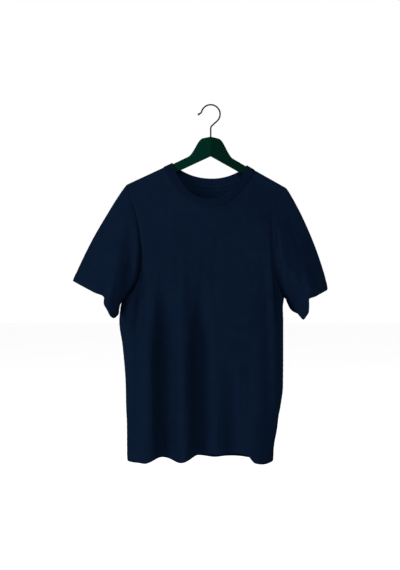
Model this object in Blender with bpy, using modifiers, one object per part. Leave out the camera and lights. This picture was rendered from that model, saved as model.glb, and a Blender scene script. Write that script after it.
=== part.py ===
"""Crew neck t-shirt hanging on a two-arm hanger with a wire hook.

Lengths in the tables are millimetres and are turned into metres when a mesh is made.
The origin is the inner top of the hook, +Z is up, and the shirt's front faces -Y.
The hanger hangs a little out of level, so the right shoulder is lower than the left.
"""
import math

import bmesh
import bpy
from mathutils import Vector

MM = 0.001
COLLECTION = "crew_neck_t_shirt_on_hanger"

# Cloth
CLOTH = 1.2                 # wall of the jersey
RIB = 1.6                   # wall of the rib neckband
SEAM_GAP = 0.7              # between the middles of two walls that are sewn together
SEAT_EASE = 1.2             # the cloth bends over the arm this much wider than the arm's round top
NECK_GAP = 1.1              # the same at the neckband, which is thicker
UNDERARM_GAP = 2.2          # more room at the underarm, where the seam's walls meet at a sharp angle
UNDERARM_RUN = 0.35         # share of the armhole over which that room closes
SEAT_GAP = 0.8              # between the cloth and the hanger arm under it

# Hanger
ARM_PITCH = math.radians(26.8)      # fall of each arm when the hanger is level
HANG_TILT = math.radians(2.2)       # how far the hanger hangs out of level
ARM_THICK = 15.0
ARM_HEIGHT = 22.0
ARM_SWEEP = 0.06            # how far the arms go back for each step out
ARM_REACH = {"left": 203.0, "right": 181.0}
ARM_JOINT_GAP = 0.3
TIP_ROUND = 6.0             # run over which an arm's end rounds off
HOOK_SEAT_GAP = 0.3         # between the hump and the end of the hook's wire
HUMP_RISE = 24.0
HUMP_TOP_HALF = 28.0
HUMP_SHOULDER = 0.62         # share of the half top at which the hump starts to fall
HUMP_FOOT_HALF = 56.0
HUMP_LEVEL = 0.7            # how nearly level the hump's top is: 1 is level

# Hook: a wire route that starts at the hump and runs up; turns are degrees, + is to the left
WIRE = 3.8
HOOK_ROUTE = [
    {"straight": 20.4, "radius": 10.0, "turn": -48.0},
    {"straight": 16.7, "radius": 23.5, "turn": 213.0},
    {"straight": 0.0, "radius": 6.0, "turn": -42.0},
    {"straight": 3.0, "radius": 6.0, "turn": 0.0},
]
HOOK_STEP = 12.0            # degrees of bend between two points of the wire
HOOK_BALL = 5.6             # ball on the wire's tip
BALL_SHARES = (0.15, 0.35, 0.6, 0.82, 0.96)     # places along the ball

# Neck
NECK_CENTRE = -4.0
NECK_HALF = 115.0           # half the width of the neckband's seam
NECK_DROP = {"front": 99.0, "back": 43.0}
NECK_ROUND = 1.9
BAND_LIFT = 1.15            # the band stands this far out of the body's surface
BAND_CENTRE = -3.0
BAND_HALF = 93.0            # half the width of the neckband's free edge
BAND_DROP = {"front": 89.0, "back": 33.0}
BAND_ROUND = {"front": 1.3, "back": 1.1}

# Body: width and depth of the hanging shirt at each height, below the underarm
BODY_SECTIONS = [
    {"z": -886, "left": -207, "right": 155},
    {"z": -845, "left": -209, "right": 156},
    {"z": -800, "left": -209, "right": 163},
    {"z": -750, "left": -211, "right": 174},
    {"z": -700, "left": -212, "right": 180},
    {"z": -600, "left": -220, "right": 181},
    {"z": -540, "left": -228, "right": 181},
    {"z": -505, "left": -219, "right": 180},
    {"z": -480, "left": -219, "right": 183},
]
BODY_DEPTHS = [
    {"z": -886, "front": 66, "back": 62},
    {"z": -600, "front": 62, "back": 56},
    {"z": -420, "front": 57, "back": 51},
    {"z": -300, "front": 50, "back": 44},
    {"z": -200, "front": 42, "back": 36},
]
UNDERARM_Z = {"left": -480.0, "right": -480.0}
BODY_ROUND = 3.4            # how square the shirt's level section is
FLARE = 165.0               # drop in which the cloth leaves the hanger and reaches its full depth
STAY_ON_ARM = 28.6          # drop below the shoulder in which the cloth keeps the arm's plane

# Armholes: "up" runs from the underarm, 0, to the shoulder, 1; "open" is the share of the depth
ARMHOLES = [
    {"up": 0.00, "left": -219, "right": 183, "open": 0.00},
    {"up": 0.08, "left": -203, "right": 172, "open": 0.45},
    {"up": 0.24, "left": -182, "right": 160, "open": 0.80},
    {"up": 0.36, "left": -176, "right": 156, "open": 0.92},
    {"up": 0.53, "left": -177, "right": 154, "open": 1.00},
    {"up": 0.75, "left": -189, "right": 158, "open": 1.00},
    {"up": 0.90, "left": -204, "right": 172, "open": 1.00},
    {"up": 1.00, "left": -209, "right": 187, "open": 1.00},
]

# Bottom edge of the front and of the back, from the left side seam to the right one
FRONT_HEM = [
    {"x": -207, "z": -886}, {"x": -164, "z": -886}, {"x": -122, "z": -872},
    {"x": -78, "z": -883}, {"x": -30, "z": -866}, {"x": 10, "z": -862},
    {"x": 60, "z": -861}, {"x": 86, "z": -864}, {"x": 108, "z": -885},
    {"x": 132, "z": -889}, {"x": 155, "z": -886},
]
BACK_HEM = [
    {"x": -207, "z": -886}, {"x": -100, "z": -882}, {"x": 30, "z": -885},
    {"x": 155, "z": -886},
]

# Folds: a line from a high place to a low one; "rise" is outwards from the body
FRONT_FOLDS = [
    {"x0": -116, "z0": -390, "x1": -106, "z1": -800, "half": 42, "rise": -31},
    {"x0": -70, "z0": -330, "x1": -66, "z1": -800, "half": 30, "rise": 9},
    {"x0": -25, "z0": -410, "x1": -22, "z1": -800, "half": 40, "rise": -26},
    {"x0": 50, "z0": -590, "x1": 56, "z1": -850, "half": 40, "rise": -17},
    {"x0": 122, "z0": -500, "x1": 126, "z1": -820, "half": 40, "rise": 12},
    {"x0": 146, "z0": -520, "x1": 153, "z1": -760, "half": 13, "rise": -7},
    {"x0": 154, "z0": -290, "x1": 172, "z1": -660, "half": 13, "rise": -12},
    {"x0": -160, "z0": -480, "x1": -160, "z1": -800, "half": 34, "rise": 8},
    {"x0": -178, "z0": -200, "x1": -177, "z1": -470, "half": 16, "rise": -13},
    {"x0": 128, "z0": -270, "x1": 132, "z1": -450, "half": 22, "rise": -6},
]
BACK_FOLDS = [
    {"x0": -140, "z0": -380, "x1": -128, "z1": -820, "half": 34, "rise": -22},
    {"x0": -70, "z0": -300, "x1": -62, "z1": -800, "half": 36, "rise": 7},
    {"x0": 0, "z0": -430, "x1": 8, "z1": -840, "half": 34, "rise": -20},
    {"x0": 66, "z0": -360, "x1": 60, "z1": -800, "half": 30, "rise": 7},
    {"x0": 110, "z0": -420, "x1": 104, "z1": -800, "half": 26, "rise": -16},
]
FOLD_FADE = 130.0           # run over which a fold comes up from nothing

# Cuffs, from the outer tip round the front to the underarm and back along the rear
LEFT_CUFF = [
    {"round": 0.00, "x": -344, "y": 8, "z": -439}, {"round": 0.10, "x": -318, "y": -30, "z": -451},
    {"round": 0.21, "x": -286, "y": -52, "z": -467}, {"round": 0.29, "x": -261, "y": -54, "z": -479},
    {"round": 0.335, "x": -262, "y": -50, "z": -493}, {"round": 0.38, "x": -253, "y": -46, "z": -511},
    {"round": 0.42, "x": -246, "y": -42, "z": -525}, {"round": 0.46, "x": -238, "y": -36, "z": -530},
    {"round": 0.50, "x": -229, "y": -26, "z": -520}, {"round": 0.56, "x": -248, "y": 16, "z": -513},
    {"round": 0.64, "x": -256, "y": 36, "z": -497}, {"round": 0.76, "x": -286, "y": 46, "z": -466},
    {"round": 0.89, "x": -322, "y": 34, "z": -447}, {"round": 1.00, "x": -344, "y": 8, "z": -439},
]
RIGHT_CUFF = [
    {"round": 0.00, "x": 291, "y": 8, "z": -461}, {"round": 0.10, "x": 273, "y": -28, "z": -469},
    {"round": 0.20, "x": 256, "y": -48, "z": -477}, {"round": 0.27, "x": 240, "y": -52, "z": -483},
    {"round": 0.34, "x": 241, "y": -47, "z": -496}, {"round": 0.40, "x": 241, "y": -42, "z": -513},
    {"round": 0.45, "x": 236, "y": -36, "z": -525}, {"round": 0.49, "x": 229, "y": -30, "z": -534},
    {"round": 0.54, "x": 219, "y": -16, "z": -521}, {"round": 0.59, "x": 206, "y": 6, "z": -514},
    {"round": 0.65, "x": 198, "y": 28, "z": -501}, {"round": 0.76, "x": 236, "y": 48, "z": -484},
    {"round": 0.89, "x": 270, "y": 34, "z": -467}, {"round": 1.00, "x": 291, "y": 8, "z": -461},
]
SLEEVE_BULGE = 10.0         # how far the middle of a sleeve stands out of the line from seam to cuff
SLEEVE_BOW = {"left": 10.0, "right": 14.0}      # the same along its top line
BOW_SOON = 0.6              # under 1: the bow comes up near both ends
# Sleeve folds lie on the front and on the back alike
LEFT_SLEEVE_FOLDS = [
    {"x0": -214, "z0": -250, "x1": -243, "z1": -440, "half": 20, "rise": 8},
    {"x0": -202, "z0": -250, "x1": -208, "z1": -440, "half": 16, "rise": -8},
    {"x0": -262, "z0": -330, "x1": -288, "z1": -450, "half": 18, "rise": -6},
]
RIGHT_SLEEVE_FOLDS = [
    {"x0": 190, "z0": -280, "x1": 229, "z1": -415, "half": 16, "rise": 8},
    {"x0": 182, "z0": -280, "x1": 196, "z1": -440, "half": 15, "rise": -8},
    {"x0": 226, "z0": -330, "x1": 256, "z1": -440, "half": 16, "rise": -9},
]

# How finely each piece is divided
SHOULDER_STEPS = 8
SHOULDER_SPACING = 1.25     # over 1: the columns lie closer at the armhole
NECK_CROSSING = (0.0, 5.5, 12.5)    # degrees round the neck where its seam crosses an arm's round top
NECK_STEPS = 10
LOWER_STEPS = 13
UPPER_ROWS = [0.0, 0.10, 0.21, 0.33, 0.45, 0.57, 0.68, 0.78, 0.86, 0.92, 0.96, 0.985, 0.996, 1.0]
SLEEVE_STEPS = 9
BAND_STEPS = 2
ARM_STEPS = 14
ARM_SPACING = 1.3           # over 1: the arm's sections lie closer at the middle
ARM_SIDES = 12

NAVY = (0.0032, 0.0085, 0.0216, 1.0)
GREEN = (0.0004, 0.0200, 0.0130, 1.0)
STEEL = (0.020, 0.020, 0.022, 1.0)


def mix(low, high, share):
    return low + (high - low) * share


def ease(share):
    """0 to 1 with level ends."""
    share = min(max(share, 0.0), 1.0)
    return share * share * (3.0 - 2.0 * share)


def through(rows, key, value, at):
    """Smooth curve through a table's rows, with no overshoot between them."""
    places = [row[key] for row in rows]
    values = [row[value] for row in rows]
    if places[0] > places[-1]:
        places.reverse()
        values.reverse()
    at = min(max(at, places[0]), places[-1])
    last = len(places) - 2
    here = next((i for i in range(last + 1) if at <= places[i + 1]), last)

    def rate(i):
        return (values[i + 1] - values[i]) / (places[i + 1] - places[i])

    def slope(i):
        if i == 0:
            return rate(0)
        if i == last + 1:
            return rate(last)
        before, after = rate(i - 1), rate(i)
        return 0.0 if before * after <= 0 else 2.0 * before * after / (before + after)

    width = places[here + 1] - places[here]
    t = (at - places[here]) / width
    start, end = values[here], values[here + 1]
    bend = width * ((t - 1.0) ** 2 * t * slope(here) + (t - 1.0) * t * t * slope(here + 1))
    return mix(start, end, ease(t)) + bend


# ---- Hanger's lines, which the cloth follows

def hook_route():
    """Middle of the wire from the hump to the tip, and its thickness in wires at each point.

    The route is moved so that the inner top of the loop is the origin.
    """
    x, z, heading = 0.0, 0.0, math.radians(90.0)
    points = [(x, z)]
    for bend in HOOK_ROUTE:
        x += bend["straight"] * math.cos(heading)
        z += bend["straight"] * math.sin(heading)
        if bend["straight"]:
            points.append((x, z))
        turn = math.radians(bend["turn"])
        steps = math.ceil(abs(bend["turn"]) / HOOK_STEP)
        for _ in range(steps):
            left = math.copysign(bend["radius"], turn)
            x -= left * math.sin(heading)
            z += left * math.cos(heading)
            heading += turn / steps
            x += left * math.sin(heading)
            z -= left * math.cos(heading)
            points.append((x, z))
    thickness = [1.0] * len(points)
    for share in BALL_SHARES:
        points.append((x + HOOK_BALL * share * math.cos(heading),
                       z + HOOK_BALL * share * math.sin(heading)))
        thickness.append(HOOK_BALL / WIRE * math.sqrt(1.0 - (2.0 * share - 1.0) ** 2))
    top = max(z for x, z in points)
    return [Vector((x, 0.0, z - top + WIRE / 2)) for x, z in points], thickness


HOOK_FOOT_Z = hook_route()[0][0].z
ARM_APEX_Z = HOOK_FOOT_Z - HOOK_SEAT_GAP - HUMP_RISE    # where the arms' top lines would meet


def arm_fall(x):
    """Fall of the arm's top line for each step out from the middle."""
    return math.tan(ARM_PITCH - HANG_TILT) if x < 0 else math.tan(ARM_PITCH + HANG_TILT)


def arm_line(x):
    """Height of the arm's straight top line, with no hump."""
    return ARM_APEX_Z - arm_fall(x) * abs(x)


def arm_plane(x):
    """The arms sweep back a little from the middle."""
    return ARM_SWEEP * abs(x)


def hump(x):
    """Rise of the hanger's middle above the arms' lines."""
    rise = HUMP_RISE + arm_fall(x) * min(abs(x), HUMP_TOP_HALF) * HUMP_LEVEL
    start = HUMP_TOP_HALF * HUMP_SHOULDER
    return rise * (1.0 - ease((abs(x) - start) / (HUMP_FOOT_HALF - start)))


# ---- Surface of the body

SEAT_RADIUS = ARM_THICK / 2 + SEAT_GAP + CLOTH / 2 + SEAT_EASE


def shoulder_line(x):
    """Height of the middle of the cloth where it lies over the arm."""
    return arm_line(x) + SEAT_GAP + CLOTH / 2


def over_arm(drop):
    """Half depth of the cloth that wraps the arm's round top."""
    left = 1.0 - min(max(drop, 0.0) / SEAT_RADIUS, 1.0)
    return SEAT_RADIUS * math.sqrt(1.0 - left * left)


def fold_rise(folds, x, z):
    total = 0.0
    for fold in folds:
        run = (fold["z0"] - z) / (fold["z0"] - fold["z1"])
        centre = mix(fold["x0"], fold["x1"], min(max(run, 0.0), 1.3))
        offset = abs(x - centre) / fold["half"]
        if run > 0.0 and offset < 1.0:
            swell = 0.5 + 0.5 * math.cos(math.pi * offset)
            total += fold["rise"] * swell * ease((fold["z0"] - z) / FOLD_FADE)
    return total


def half_depth(face, x, z):
    """Distance from the hanger's plane to the front or the back, before the sides round off."""
    drop = shoulder_line(x) - z
    full = through(BODY_DEPTHS, "z", face, z)
    return over_arm(drop) + (full - SEAT_RADIUS) * ease(drop / FLARE)


def plane_at(x, z):
    """The cloth's middle plane: on the arms it is theirs, lower down it is y = 0."""
    below = shoulder_line(x) - z - STAY_ON_ARM
    return arm_plane(x) * (1.0 - ease(below / FLARE))


def neck_z(x):
    """Line between the two points where the neckband's seam crosses the shoulders."""
    left, right = NECK_CENTRE - NECK_HALF, NECK_CENTRE + NECK_HALF
    return mix(shoulder_line(left), shoulder_line(right), (x - left) / (right - left))


def neckline(face, angle, half):
    """Neckband seam: 0 degrees is the right shoulder and 180 degrees the left one."""
    x = NECK_CENTRE + half * math.cos(angle)
    return x, neck_z(x) - NECK_DROP[face] * math.sin(angle) ** NECK_ROUND * half / NECK_HALF


def neck_angles():
    """Angles round the neckline from the right shoulder to the left, closer over the arms."""
    first = math.radians(NECK_CROSSING[-1])
    quarter = [math.radians(angle) for angle in NECK_CROSSING]
    quarter += [mix(first, math.pi / 2, (i + 1) / NECK_STEPS) for i in range(NECK_STEPS)]
    return quarter + [math.pi - angle for angle in reversed(quarter[:-1])]


def body_columns():
    """Columns of a body panel, left to right: (x at the shoulder, None) or (None, neck angle)."""
    left, right = ARMHOLES[-1]["left"], ARMHOLES[-1]["right"]
    neck_left, neck_right = NECK_CENTRE - NECK_HALF, NECK_CENTRE + NECK_HALF
    columns = [(mix(left, neck_left, (i / SHOULDER_STEPS) ** SHOULDER_SPACING), None)
               for i in range(SHOULDER_STEPS)]
    columns += [(None, angle) for angle in reversed(neck_angles())]
    columns += [(mix(right, neck_right, (i / SHOULDER_STEPS) ** SHOULDER_SPACING), None)
                for i in reversed(range(SHOULDER_STEPS))]
    return columns


COLUMNS = body_columns()


def body_point(face, column, row):
    """Middle of the cloth; rows run from the hem, 0, by the underarm, 1, to the top, 2."""
    x_top, angle = COLUMNS[column]
    if angle is None:
        z_top = shoulder_line(x_top)
    else:
        x_top, z_top = neckline(face, angle, NECK_HALF)
    left_top, right_top = ARMHOLES[-1]["left"], ARMHOLES[-1]["right"]
    across = (x_top - left_top) / (right_top - left_top)
    z_arm = mix(UNDERARM_Z["left"], UNDERARM_Z["right"], across)
    sign = -1.0 if face == "front" else 1.0
    if row <= 1.0:
        hem = FRONT_HEM if face == "front" else BACK_HEM
        x_hem = mix(BODY_SECTIONS[0]["left"], BODY_SECTIONS[0]["right"], across)
        z = mix(through(hem, "x", "z", x_hem), z_arm, row)
        left = through(BODY_SECTIONS, "z", "left", z)
        right = through(BODY_SECTIONS, "z", "right", z)
        share = 0.0
    else:
        up = row - 1.0
        z = mix(z_arm, z_top, up)
        left = through(ARMHOLES, "up", "left", up)
        right = through(ARMHOLES, "up", "right", up)
        share = through(ARMHOLES, "up", "open", up)
    x = mix(left, right, across)
    side = max(1.0 - abs(2.0 * across - 1.0) ** BODY_ROUND, 0.0) ** 0.5
    folds = FRONT_FOLDS if face == "front" else BACK_FOLDS
    depth = half_depth(face, x, z) * mix(side, 1.0, share) + fold_rise(folds, x, z) * side
    return Vector((x, plane_at(x, z) + sign * max(depth, SEAM_GAP / 2), z))


def panel_rows():
    return [i / LOWER_STEPS for i in range(LOWER_STEPS)] + [1.0 + up for up in UPPER_ROWS]


# ---- Mesh makers

def add_object(name, mesh, material):
    made = bpy.data.objects.new(name, mesh)
    bpy.data.collections[COLLECTION].objects.link(made)
    mesh.materials.append(material)
    mesh.shade_smooth()
    return made


def add_cloth(name, rings, closed, wall, material):
    """A grid bent to the rings' points, made a wall by Solidify, half of it to each side."""
    across = len(rings[0]) - 1
    along = len(rings) - 1
    shape = bmesh.new()
    bmesh.ops.create_grid(shape, x_segments=across, y_segments=along, size=1.0)
    for vertex in shape.verts:
        column = round((vertex.co.x + 1.0) / 2.0 * across)
        row = round((vertex.co.y + 1.0) / 2.0 * along)
        vertex.co = rings[row][column] * MM
    if closed:
        bmesh.ops.remove_doubles(shape, verts=shape.verts, dist=1e-6)
    mesh = bpy.data.meshes.new(name)
    shape.to_mesh(mesh)
    shape.free()
    made = add_object(name, mesh, material)
    thicken = made.modifiers.new("wall", "SOLIDIFY")
    thicken.thickness = wall * MM
    thicken.offset = 0.0
    return made


def new_material(name, colour, roughness, metallic):
    material = bpy.data.materials.new(name)
    material.use_nodes = True
    shader = material.node_tree.nodes["Principled BSDF"]
    shader.inputs["Base Color"].default_value = colour
    shader.inputs["Roughness"].default_value = roughness
    shader.inputs["Metallic"].default_value = metallic
    return material


# ---- The pieces

def add_panel(face, material):
    """Front or back, cut in one from the shoulders to the hem."""
    rows = [[body_point(face, column, row) for column in range(len(COLUMNS))]
            for row in panel_rows()]
    for row, place in zip(rows, panel_rows()):
        inset = Vector((SEAM_GAP / 2 if place > 1.0 else 0.0, 0.0, 0.0))
        row[0] = row[0] + inset
        row[-1] = row[-1] - inset
    if face == "back":
        rows = [list(reversed(row)) for row in rows]
    return add_cloth(face + "_panel", rows, False, CLOTH, material)


def armhole_ring(side):
    """Seam of the sleeve: shoulder, front, underarm, back and to the shoulder again."""
    column = 0 if side == "left" else len(COLUMNS) - 1
    outward = -1.0 if side == "left" else 1.0

    def seam_point(face, up):
        """The seam opens a little towards the underarm, where sleeve and side part sharply."""
        gap = SEAM_GAP / 2 + UNDERARM_GAP * (1.0 - ease(up / UNDERARM_RUN))
        return body_point(face, column, 1.0 + up) + Vector((outward * gap, 0.0, 0.0))

    front = [seam_point("front", up) for up in reversed(UPPER_ROWS)]
    back = [seam_point("back", up) for up in UPPER_ROWS]
    top = (front[0] + back[-1]) / 2
    low = (front[-1] + back[0]) / 2
    return [top] + front[1:-1] + [low] + back[1:-1] + [top]


def ring_shares(ring):
    """Share of the way round at each point: the underarm is at one half."""
    half = len(ring) // 2

    def run(points):
        steps = [0.0]
        for before, after in zip(points, points[1:]):
            steps.append(steps[-1] + (after - before).length)
        return [step / steps[-1] for step in steps]

    front = [0.5 * share for share in run(ring[:half + 1])]
    back = [0.5 + 0.5 * share for share in run(ring[half:])]
    return front + back[1:]


def add_sleeve(side, cuff, folds, material):
    outward = -1.0 if side == "left" else 1.0
    seam = armhole_ring(side)
    shares = ring_shares(seam)
    edge = [Vector([through(cuff, "round", axis, share) for axis in "xyz"]) for share in shares]
    rings = []
    for step in range(SLEEVE_STEPS + 1):
        along = step / SLEEVE_STEPS
        ring = []
        for start, end, share in zip(seam, edge, shares):
            point = start.lerp(end, along)
            facing = -math.sin(2.0 * math.pi * share)
            swell = fold_rise(folds, point.x, point.z) * ease(along * 4.0)
            bulge = SLEEVE_BULGE * math.sin(math.pi * along) * abs(facing)
            point.y += facing * (swell + bulge)
            arch = max(math.sin(math.pi * along), 0.0)
            over = max(math.cos(2.0 * math.pi * share), 0.0)
            point.x += outward * SLEEVE_BOW[side] * arch ** BOW_SOON * over
            ring.append(point)
        rings.append(ring if side == "left" else list(reversed(ring)))
    return add_cloth(side + "_sleeve", rings, True, CLOTH, material)


def band_point(face, angle, up):
    """Neckband between its seam, 0, and its free edge, 1."""
    x0, z0 = neckline(face, angle, NECK_HALF - NECK_GAP)
    bend = math.sin(angle) ** NECK_ROUND
    x1 = BAND_CENTRE + BAND_HALF * math.cos(angle)
    ends = (BAND_CENTRE - BAND_HALF, BAND_CENTRE + BAND_HALF)
    across = (x1 - ends[0]) / (ends[1] - ends[0])
    level = mix(shoulder_line(ends[0]), shoulder_line(ends[1]), across)
    z1 = level - BAND_DROP[face] * (1.0 - (1.0 - bend) ** BAND_ROUND[face])
    x, z = mix(x0, x1, up), mix(z0, z1, up)
    sign = -1.0 if face == "front" else 1.0
    lift = (RIB - CLOTH) / 2 + BAND_LIFT
    over = over_arm(shoulder_line(x) - z) / SEAT_RADIUS
    depth = half_depth(face, x, z) + lift * over
    return Vector((x, plane_at(x, z) + sign * depth, z + lift * (1.0 - over)))


def add_neckband(material):
    rings = []
    angles = neck_angles()
    for step in range(BAND_STEPS + 1):
        up = step / BAND_STEPS
        front = [band_point("front", angle, up) for angle in reversed(angles[1:])]
        back = [band_point("back", angle, up) for angle in angles[:-1]]
        rings.append(front + back + [front[0].copy()])
    return add_cloth("neckband", rings, True, RIB, material)


def arm_section(x, shrink):
    """Upright section of an arm: round on top and underneath."""
    radius = ARM_THICK / 2 * shrink
    top = arm_line(x) + hump(x) - ARM_THICK / 2 * (1.0 - shrink)
    slant = 1.0 / math.cos(ARM_PITCH)
    bottom = arm_line(x) - ARM_HEIGHT * slant + ARM_THICK / 2 * (1.0 - shrink)
    ring = []
    for i in range(ARM_SIDES):
        angle = 2.0 * math.pi * (i + 0.5) / ARM_SIDES
        centre = top - radius if math.sin(angle) > 0 else bottom + radius
        ring.append(Vector((x, arm_plane(x) + radius * math.cos(angle),
                            centre + radius * math.sin(angle))))
    return ring


def add_hanger_arm(side, material):
    """One arm: a loft from the flat joint at the middle to the rounded shoulder end."""
    sign = -1.0 if side == "left" else 1.0
    reach = ARM_REACH[side]
    places = [(mix(ARM_JOINT_GAP / 2, reach - TIP_ROUND, (i / ARM_STEPS) ** ARM_SPACING), 1.0)
              for i in range(ARM_STEPS + 1)]
    places += [(reach - TIP_ROUND * 0.4, 0.88), (reach, 0.6)]
    shape = bmesh.new()
    rings = [[shape.verts.new(point * MM) for point in arm_section(sign * x, shrink)]
             for x, shrink in places]
    for ring, after in zip(rings, rings[1:]):
        for i in range(ARM_SIDES):
            j = (i + 1) % ARM_SIDES
            shape.faces.new((ring[i], ring[j], after[j], after[i]))
    shape.faces.new(rings[0])
    shape.faces.new(list(reversed(rings[-1])))
    bmesh.ops.recalc_face_normals(shape, faces=shape.faces)
    name = "hanger_arm_" + side
    mesh = bpy.data.meshes.new(name)
    shape.to_mesh(mesh)
    shape.free()
    made = add_object(name, mesh, material)
    mesh.set_sharp_from_angle(angle=math.radians(50))
    return made


def add_hook(material):
    """Round wire that swells to a small ball at its tip."""
    route, thickness = hook_route()
    curve = bpy.data.curves.new("hook_wire", "CURVE")
    curve.dimensions = "3D"
    curve.bevel_depth = WIRE / 2 * MM
    curve.bevel_resolution = 2
    curve.use_fill_caps = True
    spline = curve.splines.new("POLY")
    spline.points.add(len(route) - 1)
    for point, place, swell in zip(spline.points, route, thickness):
        point.co = (*(place * MM), 1.0)
        point.radius = swell
    wire = bpy.data.objects.new("hook", curve)
    bpy.data.collections[COLLECTION].objects.link(wire)
    curve.materials.append(material)


def build():
    for old in list(bpy.data.objects):
        bpy.data.objects.remove(old)
    collection = bpy.data.collections.new(COLLECTION)
    bpy.context.scene.collection.children.link(collection)
    jersey = new_material("navy_jersey", NAVY, 0.9, 0.0)
    rib = new_material("navy_rib", NAVY, 0.92, 0.0)
    paint = new_material("green_lacquer", GREEN, 0.35, 0.0)
    steel = new_material("dark_wire", STEEL, 0.25, 1.0)
    add_panel("front", jersey)
    add_panel("back", jersey)
    add_sleeve("left", LEFT_CUFF, LEFT_SLEEVE_FOLDS, jersey)
    add_sleeve("right", RIGHT_CUFF, RIGHT_SLEEVE_FOLDS, jersey)
    add_neckband(rib)
    add_hanger_arm("left", paint)
    add_hanger_arm("right", paint)
    add_hook(steel)


build()
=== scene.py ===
"""Looks of a crew neck t-shirt that hangs on a two-arm hanger with a wire hook.

The cloth is made from section and fold tables like those of the model's solids, some of them
shifted a little, and more finely. The smaller creases, hems, ribs and stitches are only here.
Lengths are millimetres until a mesh is made, which is in metres. The front faces -Y, the sleeve
called left is at -X, and +Z is up.
"""
import math

import bmesh
import bpy
import numpy as np
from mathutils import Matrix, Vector, noise


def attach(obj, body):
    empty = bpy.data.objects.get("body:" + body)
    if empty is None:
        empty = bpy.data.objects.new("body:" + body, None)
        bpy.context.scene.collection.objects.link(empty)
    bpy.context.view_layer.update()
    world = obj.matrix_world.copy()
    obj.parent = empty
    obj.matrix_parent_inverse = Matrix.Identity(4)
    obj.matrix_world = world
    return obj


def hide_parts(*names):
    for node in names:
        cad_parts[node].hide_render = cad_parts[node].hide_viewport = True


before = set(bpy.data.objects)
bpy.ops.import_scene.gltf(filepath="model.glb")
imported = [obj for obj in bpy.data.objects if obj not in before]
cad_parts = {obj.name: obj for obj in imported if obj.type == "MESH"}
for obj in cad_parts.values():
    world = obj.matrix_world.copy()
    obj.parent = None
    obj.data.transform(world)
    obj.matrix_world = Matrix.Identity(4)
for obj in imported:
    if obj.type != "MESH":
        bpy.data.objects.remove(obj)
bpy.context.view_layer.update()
MM = 0.001
TURN = 2.0 * math.pi
BODY = "root"
SIGN = {"front": -1.0, "back": 1.0, "left": -1.0, "right": 1.0}  # along Y or along X
FACES = ("front", "back")
SIDES = ("left", "right")
HEMS, FOLDS, CUFFS, CREASES = {}, {}, {}, {}  # tables by face or side, filled below


def table_of(keys, *rows):
    """Table rows from tuples of values; keys has the name of each column."""
    return [dict(zip(keys.split(), row)) for row in rows]


# ---- Cloth, as in the solids unless a comment says otherwise

CLOTH = 1.2
RIB = 1.6
SEAM_GAP = 0.7
NECK_GAP = 0.7  # the solids leave 1.1
UNDERARM_GAP = 0.3  # the solids leave 2.2
UNDERARM_RUN = 0.35  # share of the armhole's height in which it closes
SEAT_GAP = 0.8  # air between the arm's top and the cloth
SEAT_EASE = 1.2  # more of it beside the arm

# ---- Hanger

ARM_PITCH = math.radians(26.8)
HANG_TILT = math.radians(2.2)
ARM_THICK = 15.0
ARM_HEIGHT = 22.0
ARM_SWEEP = 0.06  # the arms' slant to the back
ARM_REACH = {"left": 203.0, "right": 181.0}
ARM_JOINT_GAP = 0.04  # the solids leave 0.3
TIP_ROUND = 6.0
HOOK_SEAT_GAP = 0.3
HUMP_RISE = 24.0  # of the hanger's middle above the arms' lines
HUMP_TOP_HALF = 31.0  # the solids have 28
HUMP_SHOULDER = 0.62  # share of that half where the hump begins to fall
HUMP_FOOT_HALF = 56.0
HUMP_LEVEL = 0.58  # 1 makes the hump's top level; the solids have 0.7

# Hook: straight, radius and turn of each bend from the hump on; degrees, + is to the left
WIRE = 3.8
HOOK_ROUTE = (
    (20.4, 10.0, -48.0),
    (16.7, 23.5, 213.0),
    (0.0, 6.0, -42.0),
    (3.0, 6.0, 0.0),
)
HOOK_STEP = 12.0  # step of the solids' wire, which fixes its height
HOOK_FINE_STEP = 4.0
HOOK_BALL = 5.6  # the ball at the tip, and where its rings stand
BALL_SHARES = np.linspace(0.12, 0.985, 9)

# Neck
NECK_CENTRE = -4.0
NECK_HALF = 115.0  # half the width of the neckband's seam
NECK_DROP = {"front": 99.0, "back": 43.0}
NECK_ROUND = 1.9  # over 1: the neckline is more pointed than an ellipse
BAND_LIFT = 1.15  # the band stands this far out of the body's surface
BAND_CENTRE = -3.0
BAND_HALF = 93.0  # half the width of the neckband's free edge
BAND_DROP = {"front": 89.0, "back": 33.0}
BAND_ROUND = {"front": 1.3, "back": 1.1}

# Body: its two sides at each height below the underarm, and its half depths
BODY_SECTIONS = table_of(
    "z left right",
    (-886, -207, 155),
    (-845, -209, 156),
    (-800, -209, 163),
    (-750, -211, 174),
    (-700, -212, 180),
    (-600, -220, 181),
    (-540, -228, 181),
    (-505, -225, 180),
    (-480, -219, 183),
)
BODY_DEPTHS = table_of(
    "z front back",
    (-886, 66, 62),
    (-600, 62, 56),
    (-420, 57, 51),
    (-300, 50, 44),
    (-200, 42, 36),
)
UNDERARM_Z = -480.0
BODY_ROUND = 3.4  # how square the shirt's level section is
FLARE = 165.0  # drop in which the cloth reaches its full depth
STAY_ON_ARM = 28.6  # drop in which it keeps the arm's plane

# Armholes: "up" runs from the underarm, 0, to the shoulder, 1; "open" is the share of the depth
ARMHOLES = table_of(
    "up left right open",
    (0.00, -219, 183, 0.00),
    (0.08, -193, 172, 0.45),
    (0.24, -175, 160, 0.80),
    (0.36, -172, 156, 0.92),
    (0.53, -175, 154, 1.00),
    (0.75, -188, 158, 1.00),
    (0.90, -204, 172, 1.00),
    (1.00, -209, 187, 1.00),
)
SHOULDERS = ARMHOLES[-1]  # where the shoulder seams meet the sleeves

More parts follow.
